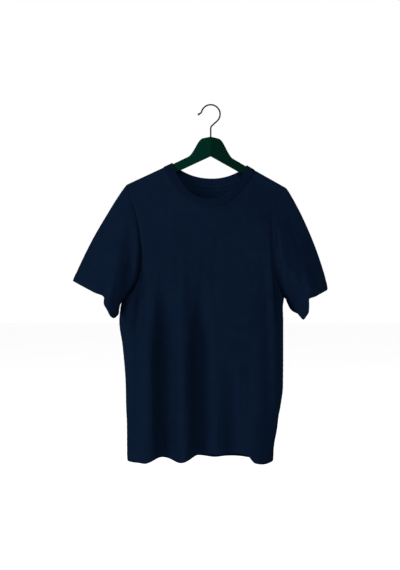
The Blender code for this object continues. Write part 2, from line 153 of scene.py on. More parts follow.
# Bottom edges, from the left side seam to the right one
HEMS["front"] = table_of(
    "x z",
    (-207, -886), (-164, -886), (-122, -872), (-78, -883), (-30, -866),
    (10, -862), (60, -861), (86, -864), (108, -885), (132, -889),
    (155, -886),
)
HEMS["back"] = table_of(
    "x z",
    (-207, -886), (-100, -882), (30, -885), (155, -886),
)

# Folds: x0 z0 x1 z1 of a line from a high place to a low one, half its width, rise outwards
FOLDS["front"] = (
    (-116, -390, -106, -800, 42, -31), (-70, -330, -66, -800, 30, 9),
    (-26, -400, -23, -800, 39, -26), (50, -590, 56, -850, 40, -17),
    (122, -500, 126, -820, 40, 12), (146, -520, 153, -760, 13, -2),
    (154, -290, 172, -660, 13, -12), (-160, -480, -160, -800, 34, 8),
    (-178, -200, -177, -470, 16, -5), (128, -270, 132, -450, 22, -2),
)
FOLDS["back"] = (
    (-140, -380, -128, -820, 34, -22), (-70, -300, -62, -800, 36, 7),
    (0, -430, 8, -840, 34, -20), (66, -360, 60, -800, 30, 7),
    (110, -420, 104, -800, 26, -16),
)
FOLD_FADE = 240.0  # run over which a fold comes up from nothing; the solids' is 130
FOLD_TAPER = 0.5  # share of its width at its start; the solids keep the width level
FOLD_TAPER_RUN = 0.6  # share of its line in which it reaches its whole width
FOLD_BEYOND = 1.3  # its line keeps its slant down to here, and is upright below

# Cuffs, from the outer tip round the front to the underarm and back along the rear
CUFFS["left"] = table_of(
    "round x y z",
    (0.00, -344, 8, -439), (0.10, -318, -30, -451), (0.21, -286, -52, -467),
    (0.29, -261, -54, -479), (0.335, -262, -55, -493), (0.38, -253, -55, -511),
    (0.42, -246, -54, -525), (0.46, -238, -48, -530), (0.50, -229, -26, -520),
    (0.56, -248, 16, -513), (0.64, -256, 36, -497), (0.76, -286, 46, -466),
    (0.89, -322, 34, -447), (1.00, -344, 8, -439),
)
CUFFS["right"] = table_of(
    "round x y z",
    (0.00, 291, 8, -461), (0.10, 273, -28, -469), (0.20, 256, -48, -477),
    (0.27, 240, -52, -483), (0.34, 241, -47, -496), (0.40, 241, -42, -513),
    (0.45, 236, -36, -525), (0.49, 229, -30, -534), (0.54, 219, -16, -521),
    (0.59, 206, 6, -514), (0.65, 198, 28, -501), (0.76, 236, 48, -484),
    (0.89, 270, 34, -467), (1.00, 291, 8, -461),
)
SLEEVE_BULGE = 10.0  # how far a sleeve stands out midway from seam to cuff
SLEEVE_BOW = {"left": 10.0, "right": 14.0}  # the same along its top line
UNDERARM_BOW = {"left": 7.5, "right": 3.0}  # keeps a sleeve's underside off the body
BOW_SOON = 0.6  # under 1: a bow comes up near both ends
SLEEVE_FOLD_SOON = 7.0  # over 1: its folds come up near the armhole seam
# Sleeve folds lie on the front and on the back alike
FOLDS["left"] = (
    (-206, -240, -240, -440, 20, 8), (-179, -180, -203, -440, 23, -14),
    (-262, -330, -288, -450, 18, -6),
)
FOLDS["right"] = (
    (190, -280, 229, -415, 16, 8), (182, -280, 196, -440, 15, -4),
    (226, -330, 256, -440, 16, -9),
)

# ---- How finely each piece is divided

SHOULDER_STEPS = 34
NECK_STEPS = 60  # columns from a shoulder to the middle of the neckline
NECK_SPACING = 1.5  # over 1: they lie closer at the shoulders
HEM_ROWS = 18
HEM_SHARE = 0.068  # share of the height below the underarm that the hem's rows take
LOWER_ROWS = 80
UPPER_ROWS = 80
TOP_SPACING = 1.6  # over 1: the rows lie closer at the top edge
SLEEVE_HALF_ROUND = 100
SLEEVE_SPACING = 1.4  # over 1: the sleeve's columns lie closer at the shoulder
SLEEVE_STEPS = 84
CUFF_STEPS = 18
CUFF_MORE = 4.0  # the cuff's closer rows begin this far past its inner edge
BAND_STEPS = 12
RIB_COLUMNS = 4
ARM_STEPS = 60
ARM_SIDES = 36
WIRE_SIDES = 18
STITCH_SIDES = 6
STITCH_RINGS = 5

# ---- Finer form, which only this script adds

WEAVE = "weave"  # UV map of the knit, in metres over the cloth
HEM_DEPTH = 23.0  # turned hem, from the edge to the hem's raised inner edge
CUFF_DEPTH = 21.0
HEM_RISE = 0.75
STITCH_LINES = (20.0, 15.0)  # twin needle rows, measured up from the bottom hem's edge
STITCH_SINK = 0.35  # a row pulls the cloth in this far, and over this width
STITCH_PULL = 1.1
NECK_STITCH = 3.2  # row beside the neckband's seam
NECK_STITCH_END = 3.0  # it stops this far from the shoulders
STITCH = {"length": 2.6, "pitch": 3.3, "radius": 0.30, "end": 0.04, "lift": 0.25}
# Puckers: waves along a hem or a seam, which drift
HEM_PUCKER = {"long": 11.0, "high": 0.22, "drift": 1.7, "drift_long": 31.0}
SEAM_PUCKER = {"long": 13.0, "high": 0.22, "drift": 1.3, "drift_long": 23.0}
SEAM_PUCKER_AT = 5.0  # distance at which they are highest
SEAM_PUCKER_WIDE = 4.0
SEAM_DIP = 0.35  # how far the cloth dips into a seam
SEAM_WIDTH = 1.6
NECK_TUCK = 3.0  # the body's neck edge runs up this far behind the neckband
NECK_TUCK_SOON = 4.0  # over 1: the tuck is whole near the shoulders
SEAM_FOLD_THICK = 1.0  # the neck seam's edges lie folded down inside the neck
HEM_CALM = 0.35  # share of the creases that is left at a hem's edge
# Fades: the distance where each begins, and its run
FADES = {
    "under_arm_top": (8.0, 50.0),  # creases, down from the shoulder line
    "under_neck": (5.0, 16.0),  # and from the neck seam
    "off_neck": (0.0, 8.0),  # sideways out of the neckline
    "off_side": (0.0, 6.0),  # in from the side seams
    "off_armhole": (0.0, 12.0),  # out from the armhole seams
    "off_hem": (0.0, 30.0),
    "off_cuff": (0.0, 26.0),
    "hem_step": (-1.6, 1.6),  # drop at the hem's inner edge
    "pucker_edge": (0.0, 6.0),  # hem puckers, in from the edge
    "pucker_past": (2.0, 14.0),  # and past the inner edge
    "pucker_hem": (4.0, 12.0),  # seam puckers, up from the hem
    "pucker_panel": (0.0, 30.0),  # and down from the shoulder line
    "pucker_sleeve": (10.0, 30.0),
    "fold_top": (0.0, 0.6),  # folded neck seam, down from it
    "fold_low": (5.2, 1.2),
    "fold_end": (-40.0, 14.0),  # sideways, from the neckline's ends
    "rib": (0.0, 1.5),
    "arm_round": (60.0, 25.0),  # flat faces of an arm give way to round ones
}
RIB_PITCH = 1.7  # one rib of the neckband and the groove beside it
RIB_DEPTH = 0.45
WALE = 0.75  # width of one knit column of the jersey
COURSE = 0.60  # height of one knit row
EDGE_ROUND = 0.45  # how far an edge of the cloth rounds out, in walls
CREASE_FADE = 0.3  # share of a crease in which each end comes up
JOINT_CHAMFER = 0.5  # edge of the hanger's middle joint
JOINT_SHRINK = 0.97
ARM_SPACING = 1.2  # over 1: an arm's rings lie closer at the middle
ARM_FLAT = 6.0  # power of an arm's section under the hump; 2 is a circle's
TIP_SHARES = (0.25, 0.5, 0.7, 0.85, 0.95, 1.0)
TIP_TAPER = 0.64  # 1 would close the tip to a point
SHARP_FROM = math.radians(40)  # edges bent more than this are shaded sharp
HOOK_SUNK = 6.0  # length of the hook's foot inside the hump

# Creases: rows like the folds', with how far each bends sideways
CREASES["front"] = (
    (-166, -370, -194, -620, 27, -14, 0), (152, -240, 168, -560, 16, -7, 0),
    (-120, -430, -116, -1000, 34, -6, 0), (-30, -430, -26, -1000, 30, -4, 0),
    (-100, -222, -138, -400, 12, -0.7, 8), (-76, -262, -96, -470, 14, 0.8, -8),
    (76, -250, 100, -430, 12, -0.8, -8), (108, -230, 132, -372, 9, 0.8, 5),
    (-172, -330, -112, -470, 9, -0.8, 10), (-176, -372, -136, -520, 8, 0.8, 8),
    (-196, -462, -158, -560, 7, -2, 5), (146, -352, 96, -492, 10, -0.8, -10),
    (152, -402, 122, -560, 8, 0.7, -6), (172, -476, 142, -600, 7, -1.9, -5),
    (-30, -300, -46, -560, 13, 1.1, 6), (22, -290, 10, -520, 15, -1.2, -6),
    (-60, -560, -64, -866, 9, -1.2, 4), (-108, -610, -102, -850, 8, 1.6, -3),
    (2, -640, -6, -862, 10, 2, 5), (70, -600, 76, -840, 9, 1.8, -4),
    (20, -735, 22, -865, 8, -0.9, 2), (-188, -600, -186, -850, 9, -0.8, 4),
    (147, -370, 155, -900, 16, 9, 2), (162, -620, 140, -850, 7, -2, 6),
)
CREASES["back"] = (
    (12, -216, 34, -207, 4, -1.6, 1), (24, -222, 50, -210, 4, 1.4, -1),
    (36, -226, 58, -213, 4, -1.6, 1), (-90, -230, -130, -410, 11, -1.6, 8),
    (84, -236, 112, -420, 11, -1.5, -8), (-170, -350, -110, -500, 9, -2, 9),
    (140, -360, 88, -510, 9, -2, -9), (-30, -290, -40, -540, 14, 1.2, 6),
    (30, -300, 36, -560, 13, -1.2, 6), (-96, -560, -92, -860, 9, -2.2, 4),
    (-34, -600, -30, -860, 9, 1.8, -4), (36, -620, 38, -870, 8, -1.8, 3),
    (84, -580, 82, -850, 9, 2, -4), (-172, -540, -176, -850, 9, -1.8, 4),
    (138, -560, 134, -830, 8, -1.6, 4),
)
CREASES["left"] = (
    (-214, -226, -262, -420, 8, -1.8, 8), (-232, -262, -306, -440, 8, 1.8, -6),
    (-192, -300, -236, -470, 9, 0.8, 8), (-186, -360, -214, -480, 7, -1.2, 5),
    (-196, -430, -252, -452, 7, -0.6, 6),
)
CREASES["right"] = (
    (162, -290, 170, -480, 9, -5, 0), (190, -232, 234, -400, 8, -1.8, -8),
    (204, -262, 266, -440, 7, 1.8, 6), (166, -300, 206, -460, 9, 0.8, -8),
    (160, -350, 182, -470, 6, -2.2, -5), (172, -430, 222, -462, 7, -0.6, -6),
)
RUMPLE = ((75.0, 1.2), (30.0, 0.28), (11.0, 0.10))  # size and height of the cloth's unevenness
RUMPLE_LONG = 2.4  # how much longer it is down the cloth than across it
RUMPLE_SEEDS = {"front": 3.1, "back": 17.4, "left": 29.8, "right": 41.2}

# The cloth sinks along the armhole seams, by these depths on the front
ARMHOLE_SINK = table_of(
    "z left right",
    (-600, 0, 0), (-480, 0, 0), (-455, 8, 4),
    (-400, 14, 6), (-330, 12, 4), (-270, 7, 1),
    (-225, 0, 0),
)
SINK_BACK = 0.6  # share of it on the back
SINK_ON_SLEEVE = 26.0  # how far from the seam it reaches
SINK_ON_BODY = 10.0

# Each sewn piece's cut as far as it shows, in metres: width and length, area, what it rests on
BOTH_ARMS = ["arm_left_lacquered", "arm_right_lacquered"]
CUTS = (
    ("front_panel", (0.50, 0.76), 0.306, BOTH_ARMS),
    ("back_panel", (0.50, 0.76), 0.300, BOTH_ARMS),
    ("left_sleeve", (0.40, 0.24), 0.077, BOTH_ARMS[:1]),
    ("right_sleeve", (0.40, 0.22), 0.068, BOTH_ARMS[1:]),
    ("neckband", (0.60, 0.024), 0.014, BOTH_ARMS),
)

# Colours, linear
NAVY = (0.0011, 0.0030, 0.0079)
NAVY_LIGHT = (0.0016, 0.0041, 0.0105)
RIB_NAVY = (0.0010, 0.0026, 0.0068)  # the rib is a little darker
RIB_NAVY_LIGHT = (0.0014, 0.0036, 0.0091)
NAVY_INSIDE_PAINTED_LIT = (0.0015, 0.0041, 0.0107)  # wrong side of the knit, a little paler; part of this paleness is painted light, for the inside of the neck where little light reaches
NAVY_INSIDE_PAINTED_LIT_LIGHT = (0.0020, 0.0054, 0.0137)
THREAD = (0.0017, 0.0046, 0.0114)
ARM_GREENS_WITH_PAINTED_SHADE = {  # darker and lighter grain of each arm; the right arm's pair is darker than the left's as painted shade, since the light comes from the left
    "left": ((0.0002, 0.0068, 0.0045), (0.0003, 0.0080, 0.0053)),
    "right": ((0.0002, 0.0046, 0.0031), (0.0003, 0.0055, 0.0037)),
}
STEEL = (0.0050, 0.0050, 0.0055)
STEEL_DARK = (0.0022, 0.0022, 0.0025)
STEEL_RIM = (0.03, 0.03, 0.033)  # dims what the wire's rim reflects
PALE = (0.975, 0.975, 0.975)
PALE_DARK = (0.965, 0.965, 0.965)

SKY = 1.0
# Name, place, size and watts of each light
LIGHTS = (
    ("key", (-4.2, -2.8, 0.9), 1.9, 430.0),
    ("front", (1.2, -3.5, 1.4), 1.0, 115.0),
    ("fill", (2.6, 1.8, 1.2), 2.2, 30.0),
)

# Camera: level, in front of the middle of the picture
FRAME_HIGH = 1.425  # metres of the hanger's plane from top to bottom
CAMERA_DISTANCE = 2.70
CAMERA_X = -0.02675
CAMERA_Z = -0.44875
SENSOR = 36.0
FLOOR_Z = -1.60
FLOOR_WIDE = 60.0


def mix(low, high, share):
    return low + (high - low) * share


def unit(share):
    return np.clip(share, 0.0, 1.0)


def ease(share):
    """0 to 1 with level ends."""
    share = unit(share)
    return share * share * (3.0 - 2.0 * share)


def fade_in(kind, distance):
    """0 up to where the fade begins, and 1 from its end on."""
    start, run = FADES[kind]
    return ease((distance - start) / run)


def hill(offset):
    """1 at an offset of 0, and 0 from 1 on."""
    return 0.5 + 0.5 * np.cos(math.pi * unit(np.abs(offset)))


def through(rows, key, value, at):
    """Smooth curve through a table's rows, with no overshoot between them."""
    places = np.array([row[key] for row in rows], float)
    values = np.array([row[value] for row in rows], float)
    if places[0] > places[-1]:
        places, values = places[::-1], values[::-1]
    at = np.clip(at, places[0], places[-1])
    rate = np.diff(values) / np.diff(places)
    slope = np.concatenate([rate[:1], np.zeros(len(rate) - 1), rate[-1:]])
    agree = rate[:-1] * rate[1:] > 0
    total = np.where(agree, rate[:-1] + rate[1:], 1.0)
    slope[1:-1] = np.where(agree, 2.0 * rate[:-1] * rate[1:] / total, 0.0)
    here = np.clip(np.searchsorted(places, at) - 1, 0, len(rate) - 1)
    width = places[here + 1] - places[here]
    t = (at - places[here]) / width
    bend = width * ((t - 1.0) ** 2 * t * slope[here] + (t - 1.0) * t * t * slope[here + 1])
    return mix(values[here], values[here + 1], ease(t)) + bend


# ---- Hanger's lines, which the cloth follows

def hook_route(step):
    """Middle of the wire from the hump to the tip, and its thickness in wires at each point."""
    x, z, heading = 0.0, 0.0, math.radians(90.0)
    points = [(x, z)]
    for straight, radius, degrees in HOOK_ROUTE:
        x += straight * math.cos(heading)
        z += straight * math.sin(heading)
        if straight:
            points.append((x, z))
        turn = math.radians(degrees)
        steps = math.ceil(abs(degrees) / step)
        left = math.copysign(radius, turn)
        for _ in range(steps):
            x -= left * math.sin(heading)
            z += left * math.cos(heading)
            heading += turn / steps
            x += left * math.sin(heading)
            z -= left * math.cos(heading)
            points.append((x, z))
    thickness = [1.0] * len(points)
    for share in BALL_SHARES:
        points.append((x + HOOK_BALL * share * math.cos(heading),
                       z + HOOK_BALL * share * math.sin(heading)))
        thickness.append(HOOK_BALL / WIRE * math.sqrt(1.0 - (2.0 * share - 1.0) ** 2))
    top = max(z for x, z in points)
    return [Vector((x, 0.0, z - top + WIRE / 2)) for x, z in points], thickness


HOOK_FOOT_Z = hook_route(HOOK_STEP)[0][0].z
ARM_APEX_Z = HOOK_FOOT_Z - HOOK_SEAT_GAP - HUMP_RISE


def arm_fall(x):
    return np.where(x < 0, math.tan(ARM_PITCH - HANG_TILT), math.tan(ARM_PITCH + HANG_TILT))


def arm_line(x):
    """Height of the arm's straight top line, with no hump."""
    return ARM_APEX_Z - arm_fall(x) * np.abs(x)


def arm_plane(x):
    """The arms sweep back a little from the middle."""
    return ARM_SWEEP * np.abs(x)


def hump(x):
    """Rise of the hanger's middle above the arms' lines."""
    rise = HUMP_RISE + arm_fall(x) * np.minimum(np.abs(x), HUMP_TOP_HALF) * HUMP_LEVEL
    start = HUMP_TOP_HALF * HUMP_SHOULDER
    return rise * (1.0 - ease((np.abs(x) - start) / (HUMP_FOOT_HALF - start)))


# ---- Surface of the body

SEAT_RADIUS = ARM_THICK / 2 + SEAT_GAP + CLOTH / 2 + SEAT_EASE


def shoulder_line(x):
    """Height of the middle of the cloth where it lies over the arm."""
    return arm_line(x) + SEAT_GAP + CLOTH / 2


def over_arm(drop):
    """Half depth of the cloth that wraps the arm's round top."""
    left = 1.0 - unit(drop / SEAT_RADIUS)
    return SEAT_RADIUS * np.sqrt(1.0 - left * left)


def fold_rise(folds, x, z):
    """Outward rise of the large folds at each point."""
    total = np.zeros_like(x)
    for x0, z0, x1, z1, half, rise in folds:
        run = (z0 - z) / (z0 - z1)
        centre = mix(x0, x1, np.clip(run, 0.0, FOLD_BEYOND))
        width = half * mix(FOLD_TAPER, 1.0, unit(run / FOLD_TAPER_RUN))
        total += rise * hill((x - centre) / width) * ease((z0 - z) / FOLD_FADE)
    return total


def half_depth(face, x, z):
    """Distance from the hanger's plane to the front or the back, before the sides round off."""
    drop = shoulder_line(x) - z
    full = through(BODY_DEPTHS, "z", face, z)
    return over_arm(drop) + (full - SEAT_RADIUS) * ease(drop / FLARE)


def plane_at(x, z):
    """The cloth's middle plane: on the arms it is theirs, lower down it is y = 0."""
    below = shoulder_line(x) - z - STAY_ON_ARM
    return arm_plane(x) * (1.0 - ease(below / FLARE))


def level(x, centre, half):
    """Straight line between the shoulders at half to each side of centre."""
    ends = np.array([centre - half, centre + half])
    heights = shoulder_line(ends)
    return mix(heights[0], heights[1], (x - ends[0]) / (ends[1] - ends[0]))


def neckline(face, angle, half):
    """Neckband seam: 0 degrees is the right shoulder and 180 degrees the left one."""
    x = NECK_CENTRE + half * np.cos(angle)
    bend = unit(np.sin(angle)) ** NECK_ROUND
    drop = NECK_DROP[face] * bend * half / NECK_HALF
    return x, level(x, NECK_CENTRE, NECK_HALF) - drop


def neck_angles(steps):
    """Angles round the neckline from the right shoulder to the left, closer over the arms."""
    quarter = np.arccos(1.0 - np.linspace(0.0, 1.0, steps + 1) ** NECK_SPACING)
    return np.concatenate([quarter, math.pi - quarter[-2::-1]])


def top_edge(face):
    """Top edge of a body panel from left to right, as x and z."""
    share = 0.5 - 0.5 * np.cos(np.linspace(0.0, math.pi, SHOULDER_STEPS, endpoint=False))
    left = mix(SHOULDERS["left"], NECK_CENTRE - NECK_HALF, share)
    right = mix(SHOULDERS["right"], NECK_CENTRE + NECK_HALF, share)[::-1]
    neck_x, neck_height = neckline(face, neck_angles(NECK_STEPS)[::-1], NECK_HALF)
    x = np.concatenate([left, neck_x, right])
    z = np.concatenate([shoulder_line(left), neck_height, shoulder_line(right)])
    return x, z


def body_points(face, x_top, z_top, rows):
    """Middle of the cloth at each of rows: 0 is the hem, 1 the underarm and 2 the top."""
    left, right = SHOULDERS["left"], SHOULDERS["right"]
    across = ((x_top - left) / (right - left))[None, :]
    rows = rows[:, None]
    x_hem = mix(BODY_SECTIONS[0]["left"], BODY_SECTIONS[0]["right"], across)
    up = unit(rows - 1.0)
    low = unit(rows)
    z = np.where(rows <= 1.0, mix(through(HEMS[face], "x", "z", x_hem), UNDERARM_Z, low),
                 mix(UNDERARM_Z, z_top[None, :], up))
    high = up + 0.0 * across
    sides = [np.where(rows <= 1.0, through(BODY_SECTIONS, "z", side, z),
                      through(ARMHOLES, "up", side, high)) for side in SIDES]
    share = np.where(rows <= 1.0, 0.0, through(ARMHOLES, "up", "open", high))
    x = mix(sides[0], sides[1], across)
    side = np.sqrt(unit(1.0 - np.abs(2.0 * across - 1.0) ** BODY_ROUND))
    depth = half_depth(face, x, z) * mix(side, 1.0, share) + fold_rise(FOLDS[face], x, z) * side
    y = plane_at(x, z) + SIGN[face] * np.maximum(depth, SEAM_GAP / 2)
    return np.stack([x, y, z], axis=-1)


# ---- Relief: the smaller forms on the cloth

def creases(rows, x, z):
    """Outward rise of the creases at each point. A crease fades at both its ends."""
    total = np.zeros_like(x)
    for x0, z0, x1, z1, half, rise, bow in rows:
        run_x, run_z = x1 - x0, z1 - z0
        length = math.hypot(run_x, run_z)
        along = ((x - x0) * run_x + (z - z0) * run_z) / length ** 2
        aside = ((z - z0) * run_x - (x - x0) * run_z) / length
        inside = unit(along)
        offset = aside - bow * 4.0 * inside * (1.0 - inside)
        fade = ease(along / CREASE_FADE) * ease((1.0 - along) / CREASE_FADE)
        total += rise * hill(offset / half) * fade
    return total


def rumple(points, seed):
    """Low uneven swell of the cloth, longer down the cloth than across it."""
    flat = points.reshape(-1, 3)
    total = np.zeros(len(flat))
    for size, height in RUMPLE:
        places = flat / size + seed
        total += height * np.array([noise.noise(Vector((x, y, z / RUMPLE_LONG)))
                                    for x, y, z in places])
    return total.reshape(points.shape[:-1])


def run_along(points, axis):
    """Distance over the cloth from its first row (axis 0) or its first column (axis 1)."""
    steps = np.linalg.norm(np.diff(points, axis=axis), axis=-1)
    start = np.zeros_like(np.take(steps, [0], axis=axis))
    return np.concatenate([start, np.cumsum(steps, axis=axis)], axis=axis)


def at_run(distance, run, path):
    """Point of a path, or a normal beside it, at a distance along its run."""
    return np.stack([np.interp(distance, run, path[:, axis]) for axis in range(3)], axis=-1)


def length_one(vectors):
    return vectors / np.maximum(np.linalg.norm(vectors, axis=-1, keepdims=True), 1e-9)


def normals_of(points, closed):
    """Outward unit normals of a grid of points whose last column meets its first if closed."""
    if closed:
        ring = np.concatenate([points[:, -2:-1], points, points[:, 1:2]], axis=1)
        across = ring[:, 2:] - ring[:, :-2]
    else:
        across = np.gradient(points, axis=1)
    return length_one(np.cross(across, np.gradient(points, axis=0)))


def puckers(size, along):
    drift = size["drift"] * np.sin(along / size["drift_long"])
    return size["high"] * np.sin(TURN * along / size["long"] + drift)


def hem_relief(from_edge, along, depth):
    """A turned hem: two layers up to its raised inner edge, pulled in at the stitch rows."""
    rise = HEM_RISE * (1.0 - fade_in("hem_step", from_edge - depth))
    for line in STITCH_LINES:
        below = depth - HEM_DEPTH + line
        rise = rise - STITCH_SINK * np.exp(-((from_edge - below) / STITCH_PULL) ** 2)
    past = fade_in("pucker_past", from_edge - depth)
    return rise + puckers(HEM_PUCKER, along) * (fade_in("pucker_edge", from_edge) * (1.0 - past))


def armhole_sink(side, seam_z, from_seam, reach):
    """Depth of the valley along an armhole seam, steepest at the seam itself."""
    return through(ARMHOLE_SINK, "z", side, seam_z) * unit(1.0 - from_seam / reach) ** 2


def seam_relief(from_seam, along):
    """Cloth dips into a seam and puckers a little beside it."""
    dip = SEAM_DIP * np.exp(-(from_seam / SEAM_WIDTH) ** 2)
    beside = np.exp(-((from_seam - SEAM_PUCKER_AT) / SEAM_PUCKER_WIDE) ** 2)
    return puckers(SEAM_PUCKER, along) * beside - dip


# ---- Mesh makers

def link(name, data):
    made = bpy.data.objects.new(name, data)
    bpy.context.scene.collection.objects.link(made)
    return made


def new_object(name, points, faces, material, uvs=None):
    """Mesh object from points in millimetres; uvs has one pair for each point."""
    mesh = bpy.data.meshes.new(name)
    mesh.from_pydata((points * MM).tolist(), [], faces)
    mesh.materials.append(material)
    mesh.shade_smooth()
    if uvs is not None:
        corners = np.zeros(len(mesh.loops), dtype=np.int32)
        mesh.loops.foreach_get("vertex_index", corners)
        layer = mesh.uv_layers.new(name=WEAVE)
        layer.uv.foreach_set("vector", (uvs[corners] * MM).astype(np.float32).ravel())
    return link(name, mesh)


def grid_faces(first, rows, columns, flip):
    """Quads of a grid of point numbers that starts at first."""
    corner = first + np.arange(rows - 1)[:, None] * columns + np.arange(columns - 1)[None, :]
    quads = np.stack([corner, corner + 1, corner + columns + 1, corner + columns], axis=-1)
    quads = quads.reshape(-1, 4)
    return quads[:, ::-1] if flip else quads


def tube_faces(rings, sides, first=0):
    """Quads between the rings of a tube that starts at point number first, and its two ends."""
    last = first + (rings - 1) * sides
    faces = []
    for low in range(first, last, sides):
        for j in range(sides):
            k = (j + 1) % sides
            faces.append((low + j, low + k, low + sides + k, low + sides + j))
    faces.append(tuple(range(first + sides - 1, first - 1, -1)))
    faces.append(tuple(range(last, last + sides)))
    return faces


def edge_loops(rows, columns, closed):
    """Point numbers round the open edges of a grid, and the number of the point inside each."""
    grid = np.arange(rows * columns).reshape(rows, columns)
    low = list(zip(grid[0], grid[1]))
    high = list(zip(grid[-1][::-1], grid[-2][::-1]))
    if closed:
        return [low, high]
    right = list(zip(grid[1:-1, -1], grid[1:-1, -2]))
    left = list(zip(grid[1:-1, 0][::-1], grid[1:-1, 1][::-1]))
    return [low + right + high + left + low[:1]]


def add_wall(name, middle, wall, closed, materials, lining=0.0):
    """Cloth: an outer and an inner face about the middle grid, with rounded edges.

    materials are the outer and the inner face's, and lining is more thickness on the inner face.
    """
    rows, columns = middle.shape[:2]
    normals = normals_of(middle, closed)
    if closed:
        middle = middle.copy()
        middle[:, -1] = middle[:, 0]
        normals[:, -1] = normals[:, 0]
    outer = (middle + normals * wall / 2).reshape(-1, 3)
    inner = (middle - normals * (wall / 2 + np.asarray(lining))[..., None]).reshape(-1, 3)
    flat = middle.reshape(-1, 3)
    count = rows * columns
    across = run_along(middle, 1)
    across = across - across[:, columns // 2:columns // 2 + 1]
    uv = np.stack([across, run_along(middle, 0)], axis=-1).reshape(-1, 2)
    points, uvs = [outer, inner], [uv, uv]
    faces = [grid_faces(0, rows, columns, False), grid_faces(count, rows, columns, True)]
    first = 2 * count
    for loop in edge_loops(rows, columns, closed):
        edge, within = np.array(loop).T
        away = length_one(flat[edge] - flat[within])
        points.append(flat[edge] + away * wall * EDGE_ROUND)
        uvs.append(uv[edge])
        rim = first + np.arange(len(edge))
        for start, end in ((rim, edge), (edge + count, rim)):
            faces.append(np.stack([start[:-1], start[1:], end[1:], end[:-1]], axis=-1))
        first += len(edge)
    counts = [len(block) for block in faces]
    faces = np.concatenate(faces).tolist()
    made = new_object(name, np.concatenate(points), faces, materials[0], np.concatenate(uvs))
    made.data.materials.append(materials[1])
    inside = np.zeros(len(faces), dtype=np.int32)
    inside[counts[0]:counts[0] + counts[1]] = 1
    made.data.polygons.foreach_set("material_index", inside)
    weld(made)
    return made, outer.reshape(middle.shape), normals


def weld(made):
    """Joins points that lie in one place, such as where a ring of cloth closes."""
    shape = bmesh.new()
    shape.from_mesh(made.data)
    bmesh.ops.remove_doubles(shape, verts=shape.verts, dist=1e-6)
    bmesh.ops.recalc_face_normals(shape, faces=shape.faces)
    shape.to_mesh(made.data)
    shape.free()
    return made


def add_stitches(name, paths, material):
    """Short grains of thread laid end to end along paths of (points, normals)."""
    around = np.linspace(0.0, TURN, STITCH_SIDES, endpoint=False)
    stations = np.linspace(-1.0, 1.0, STITCH_RINGS)
    swell = np.sqrt(np.clip(1.0 - stations ** 4, STITCH["end"], 1.0))
    points, faces, first = [], [], 0
    for path, normals in paths:
        run = run_along(path[None], 1)[0]
        for start in np.arange(STITCH["pitch"] / 2, run[-1] - STITCH["pitch"], STITCH["pitch"]):
            spot = [start, start + STITCH["length"]]
            ends, up = at_run(spot, run, path), at_run(start, run, normals)
            aim = ends[1] - ends[0]
            side = length_one(np.cross(aim, up))
            up = length_one(np.cross(side, aim))
            centre = ends.mean(axis=0) + up * STITCH["radius"] * STITCH["lift"]
            ring = np.cos(around)[:, None] * side + np.sin(around)[:, None] * up
            body = (centre + stations[:, None, None] * aim / 2
                    + swell[:, None, None] * STITCH["radius"] * ring[None])
            points.append(body.reshape(-1, 3))
            faces += tube_faces(STITCH_RINGS, STITCH_SIDES, first)
            first += STITCH_RINGS * STITCH_SIDES
    return new_object(name, np.concatenate(points), faces, material)


def line_at(surface, normals, distance, from_end=False):
    """Path over a grid, and its normals, at a distance along its columns from an end row."""
    if from_end:
        surface, normals = surface[::-1], normals[::-1]
    run = run_along(surface, 0)
    return [np.array([at_run(distance, run[:, column], grid[:, column])
                      for column in range(grid.shape[1])]) for grid in (surface, normals)]


# ---- The cloth pieces

def panel_middle(face):
    """Middle of the front's or the back's cloth, from the hem up, without its relief."""
    x_top, z_top = top_edge(face)
    inward = 1.0 - np.abs(x_top - NECK_CENTRE) / NECK_HALF
    z_top = z_top + NECK_TUCK * ease(inward * NECK_TUCK_SOON)
    hem = np.linspace(0.0, HEM_SHARE, HEM_ROWS, endpoint=False)
    lower = np.linspace(HEM_SHARE, 1.0, LOWER_ROWS, endpoint=False)
    upper = 2.0 - (1.0 - np.linspace(0.0, 1.0, UPPER_ROWS)) ** TOP_SPACING
    rows = np.concatenate([hem, lower, upper])
    middle = body_points(face, x_top, z_top, rows)
    inset = np.where(rows > 1.0, SEAM_GAP / 2, 0.0)
    middle[:, 0, 0] += inset
    middle[:, -1, 0] -= inset
    return middle if face == "front" else middle[:, ::-1]


def add_panel(face, material, thread):
    middle = panel_middle(face)
    x, z = middle[..., 0], middle[..., 2]
    drop = shoulder_line(x) - z
    up, across = run_along(middle, 0), run_along(middle, 1)
    free = fade_in("under_arm_top", drop)
    from_neck = up[-1:] - up
    aside = np.abs(x[-1:] - NECK_CENTRE) - NECK_HALF
    at_neck = 1.0 - fade_in("fold_end", aside)
    free = free * mix(1.0, fade_in("under_neck", from_neck), 1.0 - fade_in("off_neck", aside))
    rise = creases(CREASES[face], x, z) + rumple(middle, RUMPLE_SEEDS[face])
    beside = np.minimum(across, across[:, -1:] - across)
    sinks = [armhole_sink(side, z, beside, SINK_ON_BODY) for side in SIDES]
    sink = np.where(x < NECK_CENTRE, *sinks)
    rise = rise * free * fade_in("off_side", beside)
    rise = rise * mix(HEM_CALM, 1.0, fade_in("off_hem", up)) + hem_relief(up, across, HEM_DEPTH)
    seam = seam_relief(beside, up) * fade_in("pucker_hem", up) * fade_in("pucker_panel", drop)
    rise = rise + seam
    middle = middle + normals_of(middle, False) * rise[..., None]
    middle[..., 1] += sink if face == "front" else -sink * SINK_BACK
    folded = fade_in("fold_top", from_neck) * (1.0 - fade_in("fold_low", from_neck))
    made, surface, normals = add_wall(face + "_panel_cloth", middle, CLOTH, False, material,
                                      SEAM_FOLD_THICK * folded * at_neck)
    paths = [line_at(surface, normals, line) for line in STITCH_LINES]
    neck = np.abs(surface[-1, :, 0] - NECK_CENTRE) < NECK_HALF - NECK_STITCH_END
    seam, ups = line_at(surface, normals, NECK_STITCH + NECK_TUCK, True)
    paths.append((seam[neck], ups[neck]))
    return made, add_stitches(face + "_panel_stitches", paths, thread)


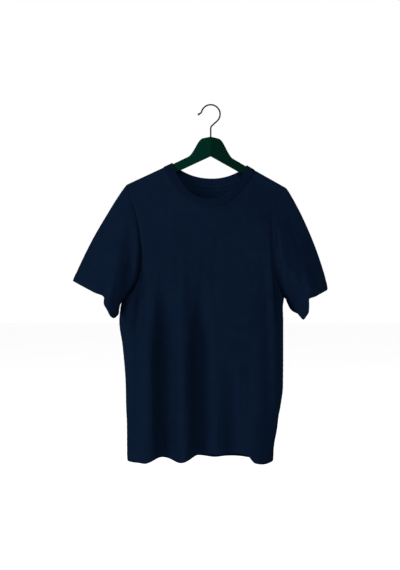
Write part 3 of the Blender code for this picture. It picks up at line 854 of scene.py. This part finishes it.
def armhole_ring(side):
    """Seam of the sleeve: shoulder, front, underarm, back and to the shoulder again."""
    ups = 1.0 - np.linspace(0.0, 1.0, SLEEVE_HALF_ROUND) ** SLEEVE_SPACING
    end = np.array([SHOULDERS[side]], float)
    halves = []
    for face in FACES:
        points = body_points(face, end, shoulder_line(end), 1.0 + ups)[:, 0]
        gap = SEAM_GAP / 2 + UNDERARM_GAP * (1.0 - ease(ups / UNDERARM_RUN))
        points[:, 0] += SIGN[side] * gap
        halves.append(points)
    front, back = halves[0], halves[1][::-1]
    top, low = (front[:1] + back[-1:]) / 2, (front[-1:] + back[:1]) / 2
    return np.concatenate([top, front[1:-1], low, back[1:-1], top])


def ring_shares(ring):
    """Share of the way round at each point: the underarm is at one half."""
    run = run_along(ring[None], 1)[0]
    low = len(ring) // 2
    return np.where(run <= run[low], 0.5 * run / run[low],
                    0.5 + 0.5 * (run - run[low]) / (run[-1] - run[low]))


def add_sleeve(side, material, thread):
    seam = armhole_ring(side)
    shares = ring_shares(seam)
    edge = np.stack([through(CUFFS[side], "round", axis, shares) for axis in "xyz"], axis=-1)
    length = np.linalg.norm(edge - seam, axis=1).mean()
    hem_start = 1.0 - (CUFF_DEPTH + CUFF_MORE) / length
    along = np.concatenate([np.linspace(0.0, hem_start, SLEEVE_STEPS, endpoint=False),
                            np.linspace(hem_start, 1.0, CUFF_STEPS)])
    along = along[:, None]
    middle = seam[None] + (edge - seam)[None] * along[..., None]
    facing = -np.sin(TURN * shares)[None]
    swell = fold_rise(FOLDS[side], middle[..., 0], middle[..., 2])
    swell = swell * ease(along * SLEEVE_FOLD_SOON)
    bulge = SLEEVE_BULGE * np.sin(math.pi * along) * np.abs(facing)
    middle[..., 1] += facing * (swell + bulge)
    arch = unit(np.sin(math.pi * along)) ** BOW_SOON
    top = np.cos(TURN * shares)[None]
    bow = SLEEVE_BOW[side] * unit(top)
    bow = bow + UNDERARM_BOW[side] * unit(-top) * (1.0 - along)
    middle[..., 0] += SIGN[side] * bow * arch
    if side == "left":
        middle = middle[:, ::-1]
        facing = facing[:, ::-1]
    x, z = middle[..., 0], middle[..., 2]
    from_seam = run_along(middle, 0)
    from_edge = from_seam[-1:] - from_seam
    across = run_along(middle, 1)
    drop = shoulder_line(x) - z
    free = fade_in("off_armhole", from_seam) * fade_in("under_arm_top", drop)
    sink = armhole_sink(side, z[:1], from_seam, SINK_ON_SLEEVE)
    sink = sink * np.where(facing < 0.0, 1.0, -SINK_BACK)
    crease = creases(CREASES[side], x, z) * np.abs(facing)
    rise = (crease + rumple(middle, RUMPLE_SEEDS[side])) * free
    rise = rise * mix(HEM_CALM, 1.0, fade_in("off_cuff", from_edge))
    rise = rise + hem_relief(from_edge, across, CUFF_DEPTH)
    rise = rise + seam_relief(from_seam, across) * fade_in("pucker_sleeve", drop)
    middle = middle + normals_of(middle, True) * rise[..., None]
    middle[..., 1] += sink
    made, surface, normals = add_wall(side + "_sleeve_cloth", middle, CLOTH, True, material)
    lines = [CUFF_DEPTH - HEM_DEPTH + line for line in STITCH_LINES]
    paths = [line_at(surface, normals, line, True) for line in lines]
    return made, add_stitches(side + "_sleeve_stitches", paths, thread)


def band_points(face, angle, up):
    """Neckband between its seam, 0, and its free edge, 1."""
    x0, z0 = neckline(face, angle, NECK_HALF - NECK_GAP)
    bend = unit(np.sin(angle)) ** NECK_ROUND
    x1 = BAND_CENTRE + BAND_HALF * np.cos(angle)
    drop = BAND_DROP[face] * (1.0 - (1.0 - bend) ** BAND_ROUND[face])
    z1 = level(x1, BAND_CENTRE, BAND_HALF) - drop
    x, z = mix(x0, x1, up), mix(z0, z1, up)
    lift = (RIB - CLOTH) / 2 + BAND_LIFT
    over = over_arm(shoulder_line(x) - z) / SEAT_RADIUS
    depth = half_depth(face, x, z) + lift * over
    return np.stack([x, plane_at(x, z) + SIGN[face] * depth, z + lift * (1.0 - over)], axis=-1)


def add_neckband(material):
    angles = neck_angles(NECK_STEPS * 4)
    up = np.linspace(0.0, 1.0, BAND_STEPS + 1)[:, None]
    front = band_points("front", angles[::-1][None], up)
    back = band_points("back", angles[None], up)
    ring = np.concatenate([front, back[:, 1:-1], front[:, :1]], axis=1)
    run = run_along(ring, 1)[BAND_STEPS // 2]
    ribs = round(run[-1] / RIB_PITCH)
    places = np.linspace(0.0, run[-1], ribs * RIB_COLUMNS + 1)
    middle = np.stack([at_run(places, run, row) for row in ring])
    from_seam = run_along(middle, 0)
    inside = fade_in("rib", from_seam) * fade_in("rib", from_seam[-1:] - from_seam)
    ridge = np.cos(TURN * places / (run[-1] / ribs))[None]
    rise = RIB_DEPTH / 2 * ridge * inside - SEAM_DIP * np.exp(-(from_seam / SEAM_WIDTH) ** 2)
    middle = middle + normals_of(middle, True) * rise[..., None]
    return add_wall("neckband_rib", middle, RIB, True, material)[0]


# ---- Hanger

def arm_section(x, shrink, square):
    """Upright section of an arm; square is 0 for a round top and 1 for a nearly flat face."""
    angles = TURN * (np.arange(ARM_SIDES) + 0.5) / ARM_SIDES
    radius = ARM_THICK / 2 * shrink
    top = arm_line(x) + hump(x) - ARM_THICK / 2 * (1.0 - shrink)
    slant = 1.0 / math.cos(ARM_PITCH)
    bottom = arm_line(x) - ARM_HEIGHT * slant + ARM_THICK / 2 * (1.0 - shrink)
    power = 2.0 / mix(2.0, ARM_FLAT, square)
    sine, cosine = np.sin(angles), np.cos(angles)
    wide = np.sign(cosine) * np.abs(cosine) ** power
    high = np.sign(sine) * np.abs(sine) ** power
    centre = np.where(sine > 0, top - radius, bottom + radius)
    return np.stack([np.full(ARM_SIDES, float(x)), arm_plane(x) + radius * wide,
                     centre + radius * high], axis=-1)


def add_hanger_arm(side, material):
    reach = ARM_REACH[side]
    places = [(ARM_JOINT_GAP / 2, JOINT_SHRINK)]
    run = np.linspace(0.0, 1.0, ARM_STEPS) ** ARM_SPACING
    places += [(mix(JOINT_CHAMFER, reach - TIP_ROUND, s), 1.0) for s in run]
    for s in TIP_SHARES:
        places.append((reach - TIP_ROUND * (1.0 - s), math.sqrt(1.0 - TIP_TAPER * s * s)))
    rings = [arm_section(SIGN[side] * x, shrink, float(1.0 - fade_in("arm_round", x)))
             for x, shrink in places]
    if side == "right":
        rings = [ring[::-1] for ring in rings]
    made = weld(new_object("arm_" + side + "_lacquered", np.concatenate(rings),
                           tube_faces(len(rings), ARM_SIDES), material))
    made.data.set_sharp_from_angle(angle=SHARP_FROM)
    return made


def add_hook(material):
    """Round wire bent in one plane, with a small ball at its tip and its foot in the hump."""
    route, thickness = hook_route(HOOK_FINE_STEP)
    route = [route[0] - Vector((0.0, 0.0, HOOK_SUNK))] + route
    thickness = [1.0] + thickness
    points = []
    for i, (place, swell) in enumerate(zip(route, thickness)):
        aim = route[min(i + 1, len(route) - 1)] - route[max(i - 1, 0)]
        aim.normalize()
        side = Vector((aim.z, 0.0, -aim.x))
        radius = WIRE / 2 * swell
        for j in range(WIRE_SIDES):
            angle = TURN * j / WIRE_SIDES
            out = math.cos(angle) * side + Vector((0.0, math.sin(angle), 0.0))
            points.append(place + radius * out)
    return weld(new_object("hook_wire", np.array(points), tube_faces(len(route), WIRE_SIDES),
                           material))


# ---- Materials

class Nodes:
    """A new material's nodes, made and joined in short calls."""

    def __init__(self, name, **sockets):
        self.material = bpy.data.materials.new(name)
        self.material.use_nodes = True
        self.tree = self.material.node_tree
        self.shader = self.tree.nodes["Principled BSDF"]
        self.place = self.add("TexCoord").outputs["Object"]
        self.feed(**sockets)

    def fill(self, node, inputs):
        """Sets or joins a node's inputs, given with their names or numbers; None leaves one."""
        for key, value in inputs:
            if isinstance(value, bpy.types.NodeSocket):
                self.tree.links.new(value, node.inputs[key])
            elif value is not None:
                node.inputs[key].default_value = value
        return node

    def add(self, kind, *inputs, **settings):
        """A node with its inputs in order."""
        made = self.tree.nodes.new("ShaderNode" + kind)
        for key, value in settings.items():
            setattr(made, key, value)
        return self.fill(made, enumerate(inputs))

    def math(self, operation, *inputs):
        return self.add("Math", *inputs, operation=operation).outputs[0]

    def noise(self, scale, detail=3.0, roughness=0.55, vector=None):
        made = self.add("TexNoise", vector or self.place, None, scale, detail, roughness)
        return made.outputs["Fac"]

    def ramp(self, value, low, high, start, end):
        """Colour or number that goes from start to end as value goes from low to high."""
        if not hasattr(start, "__len__"):
            return self.add("MapRange", value, low, high, start, end).outputs[0]
        share = self.add("MapRange", value, low, high, 0.0, 1.0).outputs[0]
        colours = ("Factor", share), (6, (*start, 1.0)), (7, (*end, 1.0))
        return self.fill(self.add("Mix", data_type="RGBA"), colours).outputs[2]

    def bump(self, height, distance, strength=1.0, under=None):
        inputs = {"Strength": strength, "Distance": distance, "Height": height, "Normal": under}
        return self.fill(self.add("Bump"), inputs.items()).outputs[0]

    def feed(self, **sockets):
        """Sets or joins the shader's inputs, written with _ for a space."""
        self.fill(self.shader, ((key.replace("_", " "), sockets[key]) for key in sockets))
        return self.material


def jersey_material(name, wale, course, depth, tones=(NAVY, NAVY_LIGHT)):
    """Single jersey: columns of small V stitches, a little heather and fuzz."""
    made = Nodes(name, Specular_IOR_Level=0.0)
    split = made.add("SeparateXYZ", made.add("UVMap", uv_map=WEAVE).outputs[0])
    across, up = split.outputs[0], split.outputs[1]
    column = made.math("DIVIDE", across, wale * MM)
    offset = made.math("ABSOLUTE", made.math("SUBTRACT", made.math("FRACT", column), 0.5))
    leg = made.math("ABSOLUTE", made.math("SINE", made.math("MULTIPLY", column, TURN)))
    height = made.math("DIVIDE", up, course * MM)
    row = made.math("ADD", height, made.math("MULTIPLY", offset, 1.4))
    stitch = made.math("SINE", made.math("MULTIPLY", row, TURN))
    knit = made.math("MULTIPLY", leg, made.math("MULTIPLY_ADD", stitch, 0.3, 0.7))
    fuzz = made.noise(scale=2600.0, detail=2.0)
    cloudy = made.noise(scale=38.0, detail=4.0)
    # The colour follows the knit's height and is darker where the yarn dips between stitches,
    # which is painted shade in the knit's grooves; fuzz and cloudy heather add random tone
    tone = made.math("MULTIPLY_ADD", knit, 0.45, made.math("MULTIPLY_ADD", fuzz, 0.35, cloudy))
    colour = made.ramp(tone, 0.45, 1.35, *tones)
    rough = made.ramp(fuzz, 0.3, 0.7, 0.84, 0.97)
    yarn = made.bump(knit, depth * MM)
    soft = made.bump(cloudy, 0.25 * MM, strength=0.6, under=yarn)
    return made.feed(Base_Color=colour, Roughness=rough, Normal=soft)


def thread_material():
    made = Nodes("sewing_thread", Specular_IOR_Level=0.02)
    twist = made.add("TexWave", made.place, 900.0, wave_type="BANDS",
                     bands_direction="DIAGONAL").outputs["Fac"]
    colour = made.ramp(twist, 0.0, 1.0, NAVY, THREAD)
    rough = made.ramp(twist, 0.0, 1.0, 0.75, 0.6)
    return made.feed(Base_Color=colour, Roughness=rough, Normal=made.bump(twist, 0.05 * MM))


def lacquer_with_painted_shade_material(side):
    """Wood under a thin coat: long soft grain shows faintly in tone and gloss."""
    made = Nodes("green_lacquer_painted_shade_" + side, Specular_IOR_Level=0.002)
    stretched = made.add("Mapping", made.place, None, None, (1.0, 7.0, 7.0)).outputs[0]
    grain = made.noise(scale=90.0, detail=5.0, roughness=0.6, vector=stretched)
    smears = made.noise(scale=26.0)
    # Grain varies the green at random; the right arm's greens are darker than the left's, which
    # is painted shade from the light at the left
    colour = made.ramp(grain, 0.35, 0.7, *ARM_GREENS_WITH_PAINTED_SHADE[side])
    rough = made.ramp(smears, 0.3, 0.7, 0.38, 0.52)
    soft = made.bump(grain, 0.10 * MM, strength=0.5)
    return made.feed(Base_Color=colour, Roughness=rough, Normal=soft)


def wire_material():
    """Polished dark wire with fine drawing marks along it."""
    made = Nodes("dark_wire", Metallic=1.0, Specular_Tint=(*STEEL_RIM, 1.0))
    marks = made.noise(scale=900.0, detail=2.0)
    patches = made.noise(scale=60.0)
    colour = made.ramp(patches, 0.3, 0.7, STEEL_DARK, STEEL)
    rough = made.ramp(marks, 0.3, 0.7, 0.16, 0.3)
    soft = made.bump(marks, 0.02 * MM, strength=0.5)
    return made.feed(Base_Color=colour, Roughness=rough, Normal=soft)


def floor_material():
    made = Nodes("pale_floor", Specular_IOR_Level=0.1)
    cloudy = made.noise(scale=0.7)
    colour = made.ramp(cloudy, 0.3, 0.7, PALE_DARK, PALE)
    rough = made.ramp(cloudy, 0.3, 0.7, 0.85, 0.95)
    return made.feed(Base_Color=colour, Roughness=rough)


# ---- The whole

def hand_over(piece, node):
    """The piece takes the node's place: the node's part is hidden and the piece is attached to
    the body.
    """
    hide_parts(node)
    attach(piece, BODY)


def build_hanger():
    for side in SIDES:
        arm = add_hanger_arm(side, lacquer_with_painted_shade_material(side))
        hand_over(arm, "hanger_arm_" + side)
    hand_over(add_hook(wire_material()), "hook")


def build_shirt():
    # The inside materials are paler: partly the knit's wrong side, partly painted light for the
    # inside of the neck
    paler_painted_lit_wrong_side = (NAVY_INSIDE_PAINTED_LIT, NAVY_INSIDE_PAINTED_LIT_LIGHT)
    jersey = (jersey_material("navy_jersey", WALE, COURSE, 0.16),
              jersey_material("navy_jersey_inside_painted_lit", WALE / 2, COURSE, 0.20, paler_painted_lit_wrong_side))
    rib = (jersey_material("navy_rib", RIB_PITCH / 2, COURSE, 0.12, (RIB_NAVY, RIB_NAVY_LIGHT)),
           jersey_material("navy_rib_inside_painted_lit", RIB_PITCH / 2, COURSE, 0.14, paler_painted_lit_wrong_side))
    thread = thread_material()
    pieces = {face + "_panel": add_panel(face, jersey, thread) for face in FACES}
    for side in SIDES:
        pieces[side + "_sleeve"] = add_sleeve(side, jersey, thread)
    pieces["neckband"] = (add_neckband(rib), None)
    for node, flat, area, rests_on in CUTS:
        cloth, stitches = pieces[node]
        hand_over(cloth, node)
        if stitches is not None:
            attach(stitches, BODY)


def build_studio():
    bpy.ops.mesh.primitive_plane_add(size=FLOOR_WIDE, location=(0.0, 0.0, FLOOR_Z))
    floor = bpy.context.object
    floor.name = "floor"
    floor.data.materials.append(floor_material())
    world = bpy.data.worlds.new("studio")
    world.use_nodes = True
    sky = world.node_tree.nodes["Background"]
    sky.inputs["Color"].default_value = (1.0, 1.0, 1.0, 1.0)
    sky.inputs["Strength"].default_value = SKY
    scene = bpy.context.scene
    scene.world = world
    for name, place, size, watts in LIGHTS:
        light = bpy.data.lights.new(name, "AREA")
        light.energy = watts
        light.size = size
        made = link(name, light)
        made.location = place
        aim = Vector((CAMERA_X, 0.0, CAMERA_Z)) - Vector(place)
        made.rotation_euler = aim.to_track_quat("-Z", "Y").to_euler()
    lens = bpy.data.cameras.new("camera")
    lens.sensor_width = SENSOR
    lens.lens = SENSOR * CAMERA_DISTANCE / FRAME_HIGH
    camera = link("camera", lens)
    camera.location = (CAMERA_X, -CAMERA_DISTANCE, CAMERA_Z)
    camera.rotation_euler = (math.pi / 2, 0.0, 0.0)
    scene.camera = camera
    scene.view_settings.view_transform = "Standard"


build_hanger()
build_shirt()
build_studio()
